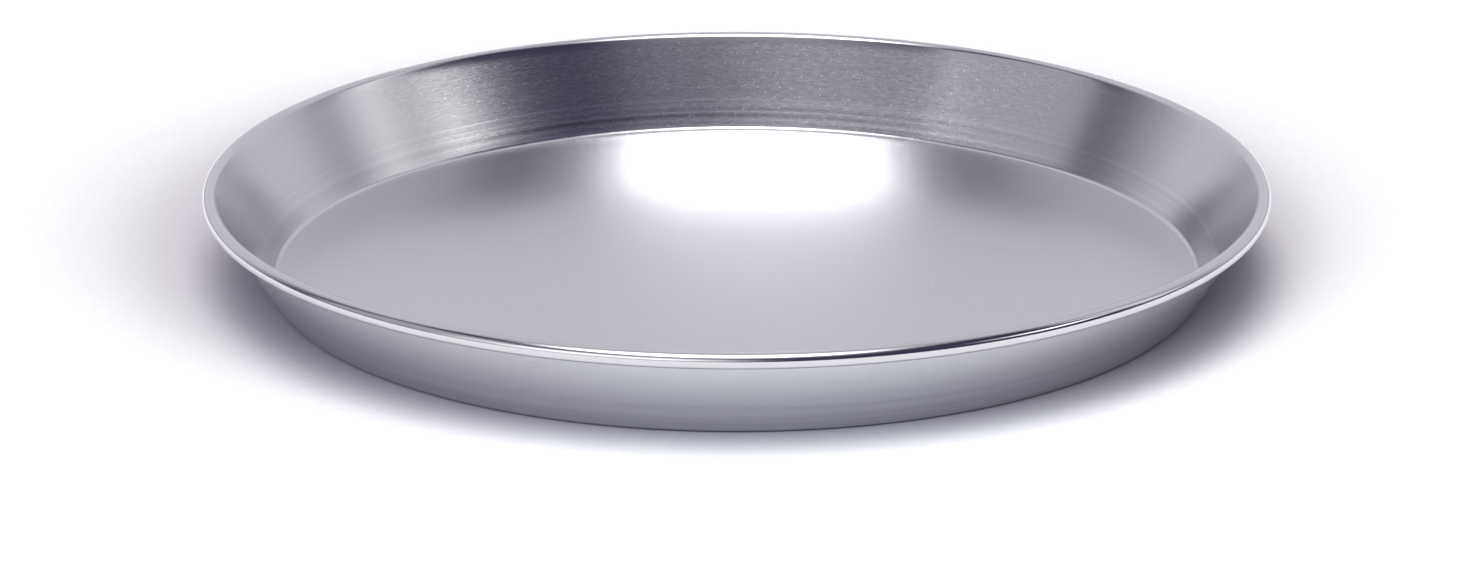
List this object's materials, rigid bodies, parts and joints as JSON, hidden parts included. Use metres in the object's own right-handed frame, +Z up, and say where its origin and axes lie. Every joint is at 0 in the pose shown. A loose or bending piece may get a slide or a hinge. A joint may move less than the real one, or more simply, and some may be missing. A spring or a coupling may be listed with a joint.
{
  "type": "pie pan",
  "caption": "Round shallow pie pan of satin sheet aluminium, with a flat floor, a straight flared wall and a rolled rim bead.",
  "frame": {"origin": "centre of the flat underside, on the surface that the pan rests on", "axes": "+Z up along the pan's axis of revolution, out of its open top; X and Y lie in the resting plane"},
  "size_m": [0.3, 0.3, 0.0278],
  "materials": {
    "sheet": "satin, finely brushed in rings about the axis, with a brighter burnished rim"
  },
  "bodies": {
    "root": {"pan": "sheet"}
  },
  "joints": []
}
